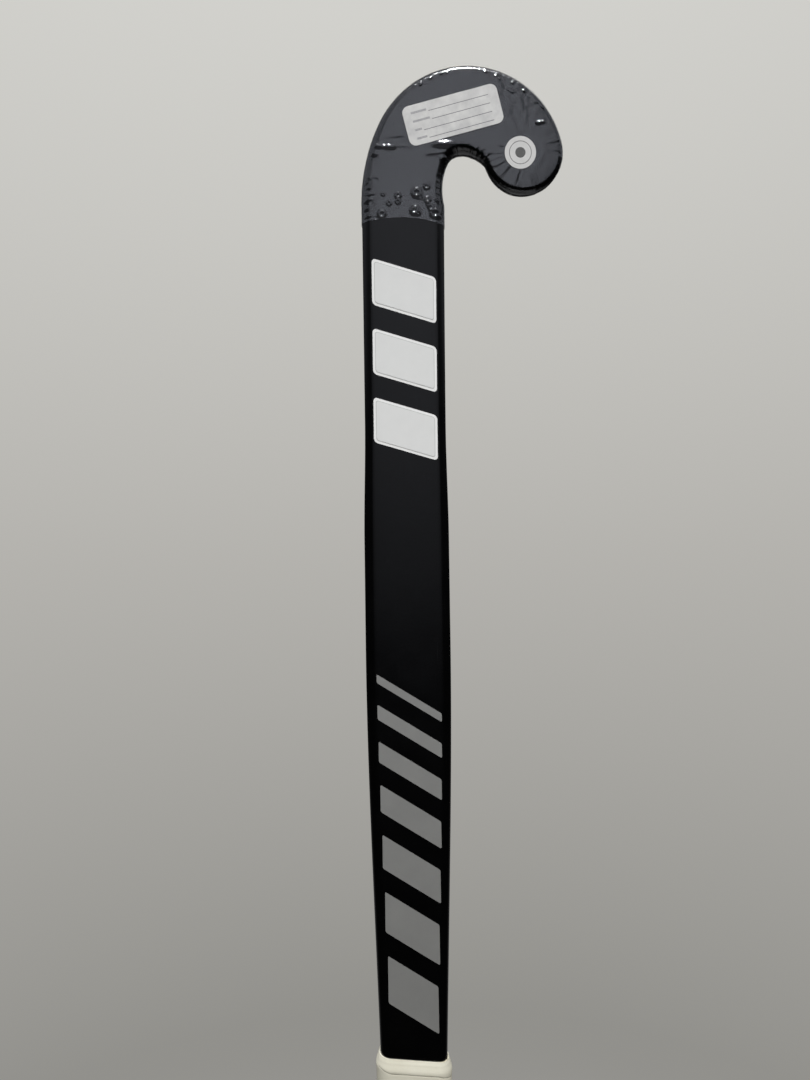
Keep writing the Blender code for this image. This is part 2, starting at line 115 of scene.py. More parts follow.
def shaftStation(height):
    half = shaftHalfWidth(height)
    depth = alongShaft(height, stick["handleDepth"], stick["shaftDepth"], stick["headDepth"])
    return {"x": 0.0, "z": height, "heading": 0.0, "outer": half, "inner": half,
            "depth": depth, "corner": shaftCorner(height)}


def evenShares(steps):
    return [step / steps for step in range(1, steps + 1)]


def hookStations(startHeight, throatShares, hookShares):
    # the centreline turns a little at the throat and then tightly round the crook
    stations = []
    x, z, heading, walked = 0.0, startHeight, 0.0, 0.0
    bends = (
        (stick["throatRadius"], stick["throatAngle"], throatShares),
        (crookReach, stick["hookAngle"], hookShares),
    )
    whole = sum(radius * angle for radius, angle, shares in bends)
    for radius, angle, shares in bends:
        centreX = x + radius * math.cos(heading)
        centreZ = z - radius * math.sin(heading)
        for along in shares:
            turned = heading + angle * along
            share = (walked + radius * angle * along) / whole
            even = mix(stick["shaftWidth"], stick["toeWidth"], share) / 2
            drawnIn = stick["crookHollow"] * math.sin(math.pi * share)
            drawnIn += stick["crookLean"] * math.sin(2 * math.pi * share)
            stations.append({
                "x": centreX - radius * math.cos(turned),
                "z": centreZ + radius * math.sin(turned),
                "heading": turned,
                "outer": even + stick["heelFullness"] * math.sin(math.pi * share),
                "inner": even - drawnIn,
                "depth": mix(stick["headDepth"], stick["toeDepth"], share),
                "corner": mix(stick["headCorner"], stick["toeCorner"], share),
            })
        heading += angle
        walked += radius * angle
        x, z = stations[-1]["x"], stations[-1]["z"]
    return stations


# the hook starts where its outer edge then reaches the stick's full length
cadShares = evenShares(3), evenShares(12)  # the steps of the solids round the throat and the hook
outline = hookStations(0.0, *cadShares)
hookStart = stick["length"] - max(s["z"] + s["outer"] * math.sin(s["heading"]) for s in outline)
toe = hookStations(hookStart, *cadShares)[-1]
flatFrom = hookStart - stick["flatBelowHook"]
crook = Vector((toe["x"] + crookReach * math.cos(toe["heading"]),
                toe["z"] - crookReach * math.sin(toe["heading"])))
curved = flatFrom - bowPeak
bowCurvature = stick["bowDepth"] / (curved * curved + 2 * curved * (stick["length"] - flatFrom))
faceSlope = 2 * bowCurvature * curved


def bow(height):
    # how far the face lies back from a straight line between butt and head
    if height <= bowPeak:
        share = min(max((height - stick["bowStart"]) / (bowPeak - stick["bowStart"]), 0.0), 1.0)
        return stick["bowDepth"] * (1 - math.cos(math.pi * share)) / 2
    bent = min(height, flatFrom) - bowPeak
    straight = max(height - flatFrom, 0.0)
    return stick["bowDepth"] - bowCurvature * bent * bent - faceSlope * straight


def place(x, depth, height):
    return Vector((x, depth + bow(height) - stick["handleDepth"] / 2, height))


def faceFall(across, halfWidth):
    return stick["crown"] * (abs(across) / halfWidth) ** stick["crownPower"]


def halfSection(halfWidth, station, inset, fine):
    # half of the D-shaped section, from the middle of the face round to the middle of the back
    side = halfWidth - inset
    radius = max(station["corner"] - inset, stick["smallestCorner"])
    points = [((side - radius) * step / fine["face"], inset) for step in range(fine["face"] + 1)]
    for step in range(1, fine["corner"] + 1):
        turn = math.pi / 2 * step / fine["corner"]
        points.append((side - radius + radius * math.sin(turn), inset + radius - radius * math.cos(turn)))
    points = [(across, depth + faceFall(across, side)) for across, depth in points]
    widest = inset + radius + stick["crown"]
    reach = station["depth"] - inset - widest
    power = 2 / stick["backFullness"]
    for step in range(1, fine["back"]):
        turn = math.pi / 2 * step / fine["back"]
        points.append((side * math.cos(turn) ** power, widest + reach * math.sin(turn) ** power))
    points.append((0.0, station["depth"] - inset))
    return points


def sectionLoop(station, inset, fine):
    heelSide = halfSection(station["outer"], station, inset, fine)
    toeSide = halfSection(station["inner"], station, inset, fine)
    return heelSide + [(-across, depth) for across, depth in reversed(toeSide[1:-1])]


def sectionRing(station, inset, fine):
    awayX, awayZ = -math.cos(station["heading"]), math.sin(station["heading"])
    return [place(station["x"] + across * awayX, depth, station["z"] + across * awayZ)
            for across, depth in sectionLoop(station, inset, fine)]


def toeArcs(inset, fine, steps):
    # half sections turned about the toe's middle, from the outer edge round to the inner one
    profile = halfSection(toe["outer"], toe, inset, fine)
    arcs = []
    for step in range(steps + 1):
        heading = toe["heading"] + math.pi * step / steps
        awayX, awayZ = -math.cos(heading), math.sin(heading)
        arcs.append([place(toe["x"] + u * awayX, v, toe["z"] + u * awayZ) for u, v in profile])
    return arcs


def addSheet(bm, rows, closed):
    # a grid laid over rows of places; a closed one gets its first column again as its last
    lines = [row + row[:1] for row in rows] if closed else rows
    made = bmesh.ops.create_grid(
        bm, x_segments=len(lines[0]) - 1, y_segments=len(lines) - 1, size=1.0)["verts"]
    spots = [spot for line in lines for spot in line]
    for vert, spot in zip(made, spots):
        vert.co = spot
    return made


def weld(bm):
    bmesh.ops.remove_doubles(bm, verts=bm.verts, dist=1e-6)
    bmesh.ops.dissolve_degenerate(bm, edges=bm.edges, dist=1e-7)
    bmesh.ops.recalc_face_normals(bm, faces=bm.faces)


def closeEnds(bm):
    bmesh.ops.remove_doubles(bm, verts=bm.verts, dist=1e-6)
    bmesh.ops.holes_fill(bm, edges=[edge for edge in bm.edges if edge.is_boundary], sides=0)
    bmesh.ops.recalc_face_normals(bm, faces=bm.faces)


def levels(low, high, spacing):
    count = max(round((high - low) / spacing), 1)
    return [mix(low, high, step / count) for step in range(count + 1)]


def addObject(name, data):
    made = bpy.data.objects.new(name, data)
    bpy.context.scene.collection.objects.link(made)
    return made


def meshObject(name, bm, materials):
    mesh = bpy.data.meshes.new(name)
    bm.to_mesh(mesh)
    bm.free()
    for material in materials:
        mesh.materials.append(material)
    return addObject(name, mesh)


def finishPiece(name, bm, materials, node, smoothAngle=40):
    piece = meshObject(name, bm, materials)
    piece.data.shade_smooth()
    piece.data.set_sharp_from_angle(angle=math.radians(smoothAngle))
    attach(piece, "root")
    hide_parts(node)


# Materials: small helpers that read Object coordinates
def newSurface(name, **sockets):
    material = bpy.data.materials.new(name)
    material.use_nodes = True
    tree = material.node_tree
    surface = {
        "material": material,
        "tree": tree,
        "shader": tree.nodes["Principled BSDF"],
        "output": tree.nodes["Material Output"],
        "coords": tree.nodes.new("ShaderNodeTexCoord").outputs["Object"],
    }
    for socket, value in sockets.items():
        surface["shader"].inputs[socket.replace("_", " ")].default_value = value
    return surface


def join(surface, source, target):
    # another node's output is linked, a plain value is set
    if isinstance(source, bpy.types.NodeSocket):
        surface["tree"].links.new(source, target)
    else:
        target.default_value = source


def addNode(surface, kind, inputs=None, **settings):
    node = surface["tree"].nodes.new("ShaderNode" + kind)
    for name, value in settings.items():
        setattr(node, name, value)
    for name, value in (inputs or {}).items():
        join(surface, value, node.inputs[name])
    return node


def stretched(surface, scale=(1, 1, 1), turn=(0, 0, 0)):
    inputs = {"Vector": surface["coords"], "Rotation": turn, "Scale": scale}
    return addNode(surface, "Mapping", inputs).outputs["Vector"]


def cloud(surface, scale, detail=3.0, rough=0.5, vector=None, distortion=0.0):
    inputs = {"Scale": scale, "Detail": detail, "Roughness": rough, "Distortion": distortion}
    inputs["Vector"] = vector or surface["coords"]
    return addNode(surface, "TexNoise", inputs).outputs["Fac"]


def cells(surface, scale, output="Distance"):
    return addNode(surface, "TexVoronoi", {"Scale": scale, "Vector": surface["coords"]}).outputs[output]


def remap(surface, value, low, high, newLow=0.0, newHigh=1.0, smooth=False):
    inputs = {"Value": value, "From Min": low, "From Max": high, "To Min": newLow, "To Max": newHigh}
    curve = "SMOOTHSTEP" if smooth else "LINEAR"
    return addNode(surface, "MapRange", inputs, interpolation_type=curve).outputs["Result"]


def combine(surface, operation, first, second=0.0):
    return addNode(surface, "Math", {0: first, 1: second}, operation=operation).outputs["Value"]


def times(surface, first, second):
    return combine(surface, "MULTIPLY", first, second)


def between(surface, share, first, second):
    # the first value where the share is 0, the second where it is 1
    kept = times(surface, combine(surface, "SUBTRACT", 1.0, share), first)
    return combine(surface, "ADD", kept, times(surface, share, second))


def tint(surface, share, first, second):
    node = addNode(surface, "Mix", {"Factor": share}, data_type="RGBA")
    colours = [socket for socket in node.inputs if socket.type == "RGBA"]
    for socket, value in zip(colours, (first, second)):
        join(surface, (*value, 1.0) if isinstance(value, tuple) else value, socket)
    return next(socket for socket in node.outputs if socket.type == "RGBA")


def setColours(surface, pattern, first, second):
    join(surface, tint(surface, pattern, first, second), surface["shader"].inputs["Base Color"])


def setRoughness(surface, pattern, smoothest, roughest):
    value = remap(surface, pattern, 0.3, 0.7, smoothest, roughest)
    join(surface, value, surface["shader"].inputs["Roughness"])
    return value


def addBump(surface, height, depth, strength):
    # each further bump stands on the one before
    inputs = {"Height": height, "Distance": depth, "Strength": strength}
    if "bump" in surface:
        inputs["Normal"] = surface["bump"]
    surface["bump"] = addNode(surface, "Bump", inputs).outputs["Normal"]
    join(surface, surface["bump"], surface["shader"].inputs["Normal"])


def mixShaders(surface, share, first, second):
    mixed = addNode(surface, "MixShader", {"Fac": share, 1: first, 2: second})
    join(surface, mixed.outputs["Shader"], surface["output"].inputs["Surface"])


# Camera and light, as where the stick was photographed
view = {
    "place": (-0.0142, -0.4665, 0.6687),
    "pitch": math.radians(1.426),  # looks this much up
    "yaw": math.radians(-1.571),  # and this much towards the toe
    "roll": math.radians(0.770),
    "focalPixels": 803.0,
    "pictureHeight": 1080.0,
    "sensor": 36.0,
}
camera = addObject("camera", bpy.data.cameras.new("camera"))
camera.data.sensor_width = view["sensor"]
camera.data.lens = view["focalPixels"] / view["pictureHeight"] * view["sensor"]
camera.data.clip_start = 0.01
camera.matrix_world = (
    Matrix.Translation(view["place"])
    @ Matrix.Rotation(view["yaw"], 4, "Z")
    @ Matrix.Rotation(math.pi / 2 + view["pitch"], 4, "X")
    @ Matrix.Rotation(-view["roll"], 4, "Z")
)
bpy.context.scene.camera = camera
bpy.context.scene.view_settings.view_transform = "Standard"

studio = {
    "aim": (0.0, 0.0, 0.75),
    "keyPlace": (0.12, -0.95, 2.75),
    "keySize": (0.42, 0.50),
    "keyPower": 62.0,
    "backPlace": (-0.75, 0.95, 2.6),
    "backSize": (0.6, 0.8),
    "backPower": 16.0,
    "fill": (0.36, 0.36, 0.36),  # even light from the whole room
    # backdrop as the camera sees it: up high, at the horizon, and the floor close behind the stick
    "skyTop": (0.64, 0.635, 0.605),
    "skyMiddle": (0.455, 0.445, 0.420),
    "skyRise": 0.57,  # how far up the top's colour is reached, 1 is overhead
    "floorNear": (0.285, 0.280, 0.262),
    "floorDrop": 0.669,
    "floorBack": 0.467,
    "floorSteep": 0.55,
    "floorFade": (0.35, 0.70),  # from here to here the lit floor turns into backdrop
    "floorLight": (0.301, 0.294, 0.28),
    "floorShade": (0.28, 0.273, 0.259),
    "floorRadius": 300.0,
}
# what the stick mirrors: a bright band of room in front, a lit patch of ceiling, and little to the sides
mirrored = {
    "band": (0.775, 0.80, 0.885),
    "dark": 0.006,
    "bandLow": math.radians(-8),
    "bandHigh": math.radians(11),
    "aim": math.radians(3),  # to the toe side
    "sideStart": math.radians(1.5),
    "sideEnd": math.radians(25),
    "sideLow": 0.03,  # what is left of the band at the sides, low down and higher up
    "sideHigh": 0.48,
    "sideRise": (math.radians(9), math.radians(14)),
    "sideFade": (math.radians(85), math.radians(150)),
    "under": 0.30,  # the floor before the stick
    "underRise": (-0.75, -1.2),
    "behind": 0.012,  # level with the stick, and low down
    "behindLow": 0.19,
    "behindRise": (-0.42, -0.21),
    "behindTurn": (1.7, 2.7),
    "ceiling": (12.0, 12.0, 12.2),  # the lit ceiling round the key lamp
    "ceilingAim": (math.radians(5), math.radians(62)),
    "ceilingReach": (math.radians(22), math.radians(9)),
}


def addLamp(name, spot, size, power, shines):
    lamp = bpy.data.lights.new(name, "AREA")
    lamp.shape = "RECTANGLE"
    lamp.size, lamp.size_y = size
    lamp.energy = power
    holder = addObject(name, lamp)
    holder.location = spot
    holder.rotation_euler = (Vector(studio["aim"]) - Vector(spot)).to_track_quat("-Z", "Y").to_euler()
    holder.visible_glossy = shines


addLamp("key_lamp", studio["keyPlace"], studio["keySize"], studio["keyPower"], shines=True)
addLamp("back_lamp", studio["backPlace"], studio["backSize"], studio["backPower"], shines=False)


def spotReach(surface, value, middle, reach):
    away = combine(surface, "DIVIDE", combine(surface, "SUBTRACT", value, middle), reach)
    return times(surface, away, away)


def grey(surface, value):
    node = addNode(surface, "CombineColor")
    for socket in node.inputs:
        join(surface, value, socket)
    return node.outputs["Color"]


def makeWorld():
    world = bpy.data.worlds.new("room")
    world.use_nodes = True
    tree = world.node_tree
    tree.nodes.clear()
    surface = {"tree": tree}
    surface["coords"] = addNode(surface, "TexCoord").outputs["Generated"]
    split = addNode(surface, "SeparateXYZ", {"Vector": surface["coords"]})
    up = split.outputs["Z"]
    rise = combine(surface, "ARCSINE", up)
    side = combine(surface, "ARCTAN2", split.outputs["X"], times(surface, split.outputs["Y"], -1.0))
    turned = combine(surface, "ABSOLUTE", side)

    # the band, brightest ahead and fading to the sides
    low = remap(surface, rise, mirrored["bandLow"], mirrored["bandHigh"], smooth=True)
    aside = combine(surface, "ABSOLUTE", combine(surface, "SUBTRACT", side, mirrored["aim"]))
    near = remap(surface, aside, mirrored["sideStart"], mirrored["sideEnd"], 1.0, 0.0, smooth=True)
    left = remap(surface, rise, *mirrored["sideRise"], mirrored["sideLow"], mirrored["sideHigh"])
    near = between(surface, near, left, 1.0)
    near = times(surface, near, remap(surface, turned, *mirrored["sideFade"], 1.0, 0.0))

    # the dark rest of the room, before the stick and behind it
    under = remap(surface, rise, *mirrored["underRise"], mirrored["dark"], mirrored["under"], smooth=True)
    behind = remap(surface, rise, *mirrored["behindRise"], mirrored["behindLow"], mirrored["behind"])
    turnedAway = remap(surface, turned, *mirrored["behindTurn"], smooth=True)
    dark = grey(surface, between(surface, turnedAway, under, behind))
    felt = tint(surface, times(surface, low, near), dark, mirrored["band"])

    # the lit patch of ceiling
    spots = [spotReach(surface, value, middle, reach) for value, middle, reach in
             zip((side, rise), mirrored["ceilingAim"], mirrored["ceilingReach"])]
    away = times(surface, combine(surface, "ADD", *spots), -1.0)
    felt = tint(surface, combine(surface, "EXPONENT", away), felt, mirrored["ceiling"])

    path = addNode(surface, "LightPath")
    lit = tint(surface, path.outputs["Is Glossy Ray"], studio["fill"], felt)
    climb = remap(surface, up, 0.0, studio["skyRise"])
    seen = tint(surface, climb, studio["skyMiddle"], studio["skyTop"])
    colour = tint(surface, path.outputs["Is Camera Ray"], lit, seen)
    shader = addNode(surface, "Background", {"Color": colour})
    addNode(surface, "OutputWorld", {"Surface": shader.outputs["Background"]})
    bpy.context.scene.world = world


def makeFloor():
    surface = newSurface("studio_floor", Roughness=0.9)
    away = addNode(surface, "VectorMath", {0: surface["coords"]}, operation="LENGTH").outputs["Value"]
    setColours(surface, cloud(surface, 3.0), studio["floorShade"], studio["floorLight"])
    back = combine(surface, "ADD", away, studio["floorBack"])
    steep = combine(surface, "DIVIDE", studio["floorDrop"], back)
    spread = remap(surface, steep, 0.0, studio["floorSteep"])
    glow = addNode(surface, "Emission", {
        "Color": tint(surface, spread, studio["skyMiddle"], studio["floorNear"])})
    fade = remap(surface, away, *studio["floorFade"], smooth=True)
    mixShaders(surface, fade, surface["shader"].outputs["BSDF"], glow.outputs["Emission"])
    bm = bmesh.new()
    bmesh.ops.create_circle(bm, cap_ends=True, segments=64, radius=studio["floorRadius"])
    floor = meshObject("floor", bm, [surface["material"]])
    floor.visible_glossy = False


makeWorld()
makeFloor()
print("camera, lamps, floor and backdrop are set")


# Shell: the laminate in satin black
shell = {
    "fine": {"face": 12, "corner": 7, "back": 16},
    "spacing": 0.0045,
    "throatSteps": 26,
    "hookSteps": 90,
    "toeSteps": 48,
    "start": 0.0033,
    "colour": (0.0006, 0.0006, 0.0007),
    "colourWorn": (0.0011, 0.0011, 0.0012),
    "roughness": (0.17, 0.22),
    "rubbed": 0.08,  # rougher by this along the fine streaks
}


def blackLaminate():
    surface = newSurface("black_laminate", IOR=1.4)
    soft = cloud(surface, 55.0, detail=4.0)
    streaks = cloud(surface, 1.0, detail=5.0, vector=stretched(surface, scale=(900, 900, 30)))
    setColours(surface, soft, shell["colour"], shell["colourWorn"])
    even = setRoughness(surface, soft, *shell["roughness"])
    rubbed = combine(surface, "ADD", even, remap(surface, streaks, 0.62, 0.75, 0.0, shell["rubbed"]))
    join(surface, rubbed, surface["shader"].inputs["Roughness"])
    addBump(surface, cloud(surface, 900.0, detail=2.0), depth=0.00002, strength=0.35)
    addBump(surface, cloud(surface, 180.0, detail=2.0), depth=0.00004, strength=0.25)
    return surface["material"]


def makeShell():
    bm = bmesh.new()
    fine = shell["fine"]
    rows = [sectionRing(shaftStation(level), 0.0, fine)
            for level in levels(shell["start"], hookStart, shell["spacing"])]
    turns = evenShares(shell["throatSteps"]), evenShares(shell["hookSteps"])
    rows += [sectionRing(station, 0.0, fine) for station in hookStations(hookStart, *turns)]
    addSheet(bm, rows, closed=True)
    addSheet(bm, toeArcs(0.0, fine, shell["toeSteps"]), closed=False)
    weld(bm)
    bmesh.ops.solidify(bm, geom=bm.faces[:], thickness=stick["wall"])
    finishPiece("laminate_shell", bm, [blackLaminate()], "stick_shell")


makeShell()
print("shell is made")


# Film: clear, shrunk over the head, with gathers, creases and small blisters; its relief is in millimetres
film = {
    "fine": {"face": 63, "corner": 7, "back": 9},
    "straightSteps": 22,
    "throatFine": (0.33, 32),  # this first share of the throat in this many steps
    "throatSteps": 30,
    "hookSteps": 164,
    "toeSteps": 108,
    "edge": 0.8675,  # its lower edge at the middle of the face
    "heelDrop": 0.0027,  # the edge sags this much at the heel side
    "toeDrop": 0.0045,
    "offset": 0.00018,
    "thickness": 0.00006,
    "index": 1.5,
    "roughness": (0.04, 0.09),
    "bead": 0.12,  # its lower edge stands up by this, and this wide in metres
    "beadWidth": 0.0005,
    "rest": 0.10,  # stands off this much all over
    "calmed": 0.92,  # the label and the sticker press this share of the relief flat
    "labelMargin": (-0.5, 2.0),
    "stickerMargin": (8.8, 11.0),
    "backShare": 0.45,  # what the sides and the back have of the relief
    # zones of the face: middle x and z, and reach in x and z
    "heel": (-8.0, 907.0, 17.0, 12.0),
    "heelSide": (-20.0, 884.0, 8.5, 20.0),
    "foot": (-19.0, 870.0, 6.0, 8.0),
    "top": (68.0, 934.0, 26.0, 17.0),
    "zoneFade": (0.55, 1.0),
    # hills: height, length and breadth, pick of the pattern; folds have a width as well
    "broadHills": (0.05, 16, 16, 3.0),
    "smallHills": (0.02, 3.5, 3.5, 13.0),
    "heelFolds": (0.26, 13, 2.6, 5.0, 0.3),
    "heelTilt": 0.06,
    "heelSideHills": (0.30, 7, 3.4, 9.0),
    "heelSideFolds": (0.09, 5, 2.6, 4.0, 0.35),
    "footHills": (0.10, 7, 0.9, 15.0),
    "facets": (0.46, 6.5, 6.5, 2.0),
    "facetEdges": (0.08, 5.5, 5.5, 8.0, 0.2),
    # gathers run in from the outline, more of them over the top
    "gathers": (1.0, 2.1, 12, 7.0),
    "gatherFolds": (0.16, 3.4, 15, 11.0, 0.22),
    "gatherDepth": 3.6,
    "gatherShares": (0.16, 0.46),
    "gatherRise": (925.0, 940.0),
    # spokes round the toe and the crook: height, count, length, and a width for folds
    "pleats": (0.26, 5.0, 26),
    "pleatFolds": (-0.13, 8, 15, 0.3),
    "pleatStart": (9.5, 14.0),
    "pleatSide": (48.0, 60.0),
    "pleatLoss": 0.7,
    "pleatTop": (908.0, 922.0),
    "crookFolds": (0.34, 4.5, 25, 0.3),
    "crookHills": (0.16, 3.0, 1.8, 6.0),
    "crookFade": (9.0, 20.0),
    "swelling": (24.5, 908.4, 6.5, 1.9, 1.15),  # middle, reach and height
    # a blister is a crater: steep on its inner side, easy on its outer, as shares of its radius
    "blisterSteepness": 0.27,
    "blisterRim": 0.72,
    "blisterInside": 0.30,
    "blisterOutside": 0.55,
    "blisterReach": 2.2,
    "blisterHills": (0.2, 1.3, 1.3),
    # blisters by x and z on the face and radius
    "blisters": (
        (13.6, 884.9, 1.6), (7.9, 881.3, 2.4), (9.8, 879.2, 1.3), (14.0, 877.6, 1.6),
        (6.8, 871.3, 2.3), (8.4, 869.9, 1.3), (-3.0, 879.8, 1.5), (-3.0, 876.4, 1.3),
        (-8.2, 875.5, 1.2), (-11.6, 880.6, 1.0), (-20.1, 880.5, 1.0),
        (-12.5, 869.3, 2.0), (18.4, 869.7, 2.4), (16.1, 873.0, 1.5),
        (14.5, 874.8, 1.0), (-20.5, 868.6, 1.1), (19.6, 877.5, 1.1),
    ),
    # single creases from x and z to x and z, width and height
    "creases": (
        (-17.0, 907.4, -3.5, 906.5, 0.95, 0.64), (-18.4, 903.4, -15.0, 902.6, 0.95, 0.64),
        (-12.0, 910.4, 1.5, 911.8, 0.9, -0.35), (-9.0, 903.8, 6.0, 905.2, 1.3, -0.30),
        (77.0, 920.0, 82.5, 921.0, 0.9, 0.68), (59.5, 940.0, 64.5, 936.5, 1.3, 0.20),
        (65.0, 931.5, 72.0, 934.0, 1.5, 0.12), (60.0, 944.5, 58.5, 935.0, 1.0, -0.40),
        (72.0, 927.5, 79.0, 930.5, 1.0, -0.45), (9.0, 899.5, 24.0, 900.6, 0.8, -0.30),
        (12.0, 903.0, 26.0, 904.2, 0.9, 0.30), (21.0, 900.2, 26.0, 901.0, 0.9, 0.55),
    ),
    # small puckers along the rim that catch the light, by x and z
    "puckers": (
        (7.3, 940.3), (10.7, 941.2), (16.4, 944.5), (22.8, 947.0), (25.8, 947.7), (48.0, 948.1),
        (53.8, 946.0), (55.8, 944.4), (63.4, 942.1), (70.0, 937.8), (80.8, 928.9),
    ),
    "puckerSize": (0.8, 0.75, 0.52),  # length, width and height
}
puckerLength, *puckerShape = film["puckerSize"]
filmCreases = film["creases"] + tuple(
    (x - puckerLength / 2, z, x + puckerLength / 2, z, *puckerShape) for x, z in film["puckers"])


def shaped(level, height, width):
    # smooth as it is, or folded up narrow along the lines where it is even
    return height * (level if width is None else max(0.0, 1.0 - abs(level) / width))


def hills(along, across, height, length, breadth, pick, width=None):
    return shaped(noise.noise((along / length, across / breadth, pick)), height, width)


def spokes(away, turn, height, count, length, width=None):
    spot = math.cos(turn) * count, math.sin(turn) * count, away / length
    return shaped(noise.noise(spot), height, width)


def polar(x, z, middleX, middleZ):
    alongX, alongZ = x - middleX / mm, z - middleZ / mm
    return math.hypot(alongX, alongZ), math.atan2(alongZ, alongX)


def zone(x, z, centreX, centreZ, reachX, reachZ):
    away = math.hypot((x - centreX) / reachX, (z - centreZ) / reachZ)
    return 1.0 - blend(away, *film["zoneFade"])


def creaseLift(x, z, crease):
    startX, startZ, endX, endZ, width, height = crease
    alongX, alongZ = endX - startX, endZ - startZ
    length = math.hypot(alongX, alongZ)
    along = ((x - startX) * alongX + (z - startZ) * alongZ) / length
    aside = ((x - startX) * alongZ - (z - startZ) * alongX) / length
    if abs(aside) > 3 * width or along < -width or along > length + width:
        return 0.0
    ends = blend(along, -width, 0.2 * length) * (1.0 - blend(along, 0.8 * length, length + width))
    return height * ends * math.exp(-(aside / width) ** 2)


def labelShare(x, z):
    # 1 under the label, falling to 0 beyond it
    turned = Matrix.Rotation(label["turn"], 2) @ Vector((x - label["x"] / mm, z - label["z"] / mm))
    outX = abs(turned.x) - label["length"] / mm / 2
    outZ = abs(turned.y) - label["height"] / mm / 2
    return 1.0 - blend(max(outX, outZ), *film["labelMargin"])


label = {
    "length": 0.0562,
    "height": 0.0223,
    "corner": 0.0040,
    "turn": math.radians(14.6),
    "x": toe["x"] - 0.0413,
    "z": stick["length"] - 0.0283,
    "lift": 0.00060,  # above the laminate, on the film
    "thickness": 0.00010,
    "lineWidth": 0.00036,
    # ruled lines: height over the middle, and where each one starts, in metres
    "lines": ((0.0058, -0.0131), (0.0010, -0.0121), (-0.0038, -0.0181), (-0.0086, -0.0162)),
    "lineEnd": 0.0224,
    "rows": 9,
    "columns": 22,
    "waviness": 0.10,  # in millimetres, over it all and at its edges
    "edgeWaviness": 0.12,
    "blockStart": -0.0233,  # plain grey blocks before the lines
    "blockGap": 0.0011,
    "blockHeight": 0.0012,
    "blockRise": 0.0004,
    "blockGrey": (0.24, 0.24, 0.25),
    "paper": (0.65, 0.65, 0.645),
    "shade": (0.52, 0.52, 0.525),
    "ink": (0.10, 0.10, 0.11),
}
sticker = {
    "radius": 0.0091,
    "x": toe["x"] - 0.0023,
    "z": toe["z"] - 0.0012,
    "lift": 0.00050,
    "thickness": 0.00008,
    "ringRadius": 0.0062,
    "ringWidth": 0.00035,
    "dotRadius": 0.0030,
    "waviness": 0.03,
    "white": (0.66, 0.66, 0.66),
    "shade": (0.57, 0.57, 0.57),
    "line": (0.06, 0.06, 0.06),
}


def filmLift(x, z, edge, run, front):
    # how far the film stands off; edge is the way in from the outline, run the way along it
    crookAway, crookTurn = polar(x, z, crook.x, crook.y)
    toeAway, toeTurn = polar(x, z, toe["x"], toe["z"])
    pressed = max(labelShare(x, z), 1.0 - blend(toeAway, *film["stickerMargin"]))
    lift = film["rest"] + hills(x, z, *film["broadHills"]) + hills(x, z, *film["smallHills"])

    # gathers that run in from the outline
    depthIn = math.exp(-max(edge, 0.0) / film["gatherDepth"])
    share = mix(*film["gatherShares"], blend(z, *film["gatherRise"]))
    lift += depthIn * (share * hills(run, edge, *film["gathers"]) + hills(run, edge, *film["gatherFolds"]))

    # pleats round the toe
    fan = blend(toeAway, *film["pleatStart"]) * blend(x, *film["pleatSide"])
    fan *= 1.0 - film["pleatLoss"] * blend(z, *film["pleatTop"])
    lift += fan * spokes(toeAway, toeTurn, *film["pleats"])
    lift += fan * spokes(toeAway, toeTurn, *film["pleatFolds"])

    # level creases across the heel, and slanting ones down its side
    lift += zone(x, z, *film["heel"]) * hills(x, z - film["heelTilt"] * x, *film["heelFolds"])
    heelSide = zone(x, z, *film["heelSide"])
    for values in film["heelSideHills"], film["heelSideFolds"]:
        lift += heelSide * hills(x + z, x - z, *values)
    lift += zone(x, z, *film["foot"]) * hills(x, z, *film["footHills"])

    # broken facets over the top towards the toe
    facets = abs(hills(x, z, *film["facets"])) + hills(x, z, *film["facetEdges"])
    lift += zone(x, z, *film["top"]) * facets

    # folds drawn tight round the crook, and the swelling over it below the label
    gather = 1.0 - blend(crookAway, *film["crookFade"])
    lift += gather * (spokes(crookAway, crookTurn, *film["crookFolds"]) + hills(x, z, *film["crookHills"]))
    middleX, middleZ, reachX, reachZ, height = film["swelling"]
    lift += height * math.exp(-((x - middleX) / reachX) ** 2 - ((z - middleZ) / reachZ) ** 2)

    lift *= (1.0 - film["calmed"] * pressed * front) * mix(film["backShare"], 1.0, front)
    for crease in filmCreases:
        lift += front * creaseLift(x, z, crease)
    for spotX, spotZ, radius in film["blisters"]:
        away = math.hypot(x - spotX, z - spotZ) / radius
        if away < film["blisterReach"]:
            spread = film["blisterInside"] if away < film["blisterRim"] else film["blisterOutside"]
            rim = math.exp(-((away - film["blisterRim"]) / spread) ** 2)
            uneven = 1 + hills(x, z, *film["blisterHills"], spotX)
            lift += front * film["blisterSteepness"] * radius * rim * uneven
    return max(lift, 0.0)


def clearFilm():
    surface = newSurface("clear_film", Metallic=1.0, Base_Color=(0.93, 0.94, 0.96, 1.0))
    setRoughness(surface, cloud(surface, 120.0), *film["roughness"])
    # both walls mirror alike: the Fresnel node turns its index round for a wall seen from inside
    inside = addNode(surface, "NewGeometry").outputs["Backfacing"]
    index = remap(surface, inside, 0.0, 1.0, film["index"], 1 / film["index"])
    addBump(surface, cloud(surface, 260.0, detail=1.0, distortion=0.4), depth=0.0002, strength=0.18)
    fresnel = addNode(surface, "Fresnel", {"IOR": index, "Normal": surface["bump"]})
    through = addNode(surface, "BsdfTransparent")
    mixShaders(surface, fresnel.outputs["Fac"], through.outputs["BSDF"], surface["shader"].outputs["BSDF"])
    return surface["material"]


def filmEdgeAt(x):
    # the film's lower edge is arched: lowest at the sides of the shaft
    sag = film["heelDrop"] if x < 0 else film["toeDrop"]
    return film["edge"] - sag * min(abs(x) / shaftHalfWidth(hookStart), 1.0) ** 2


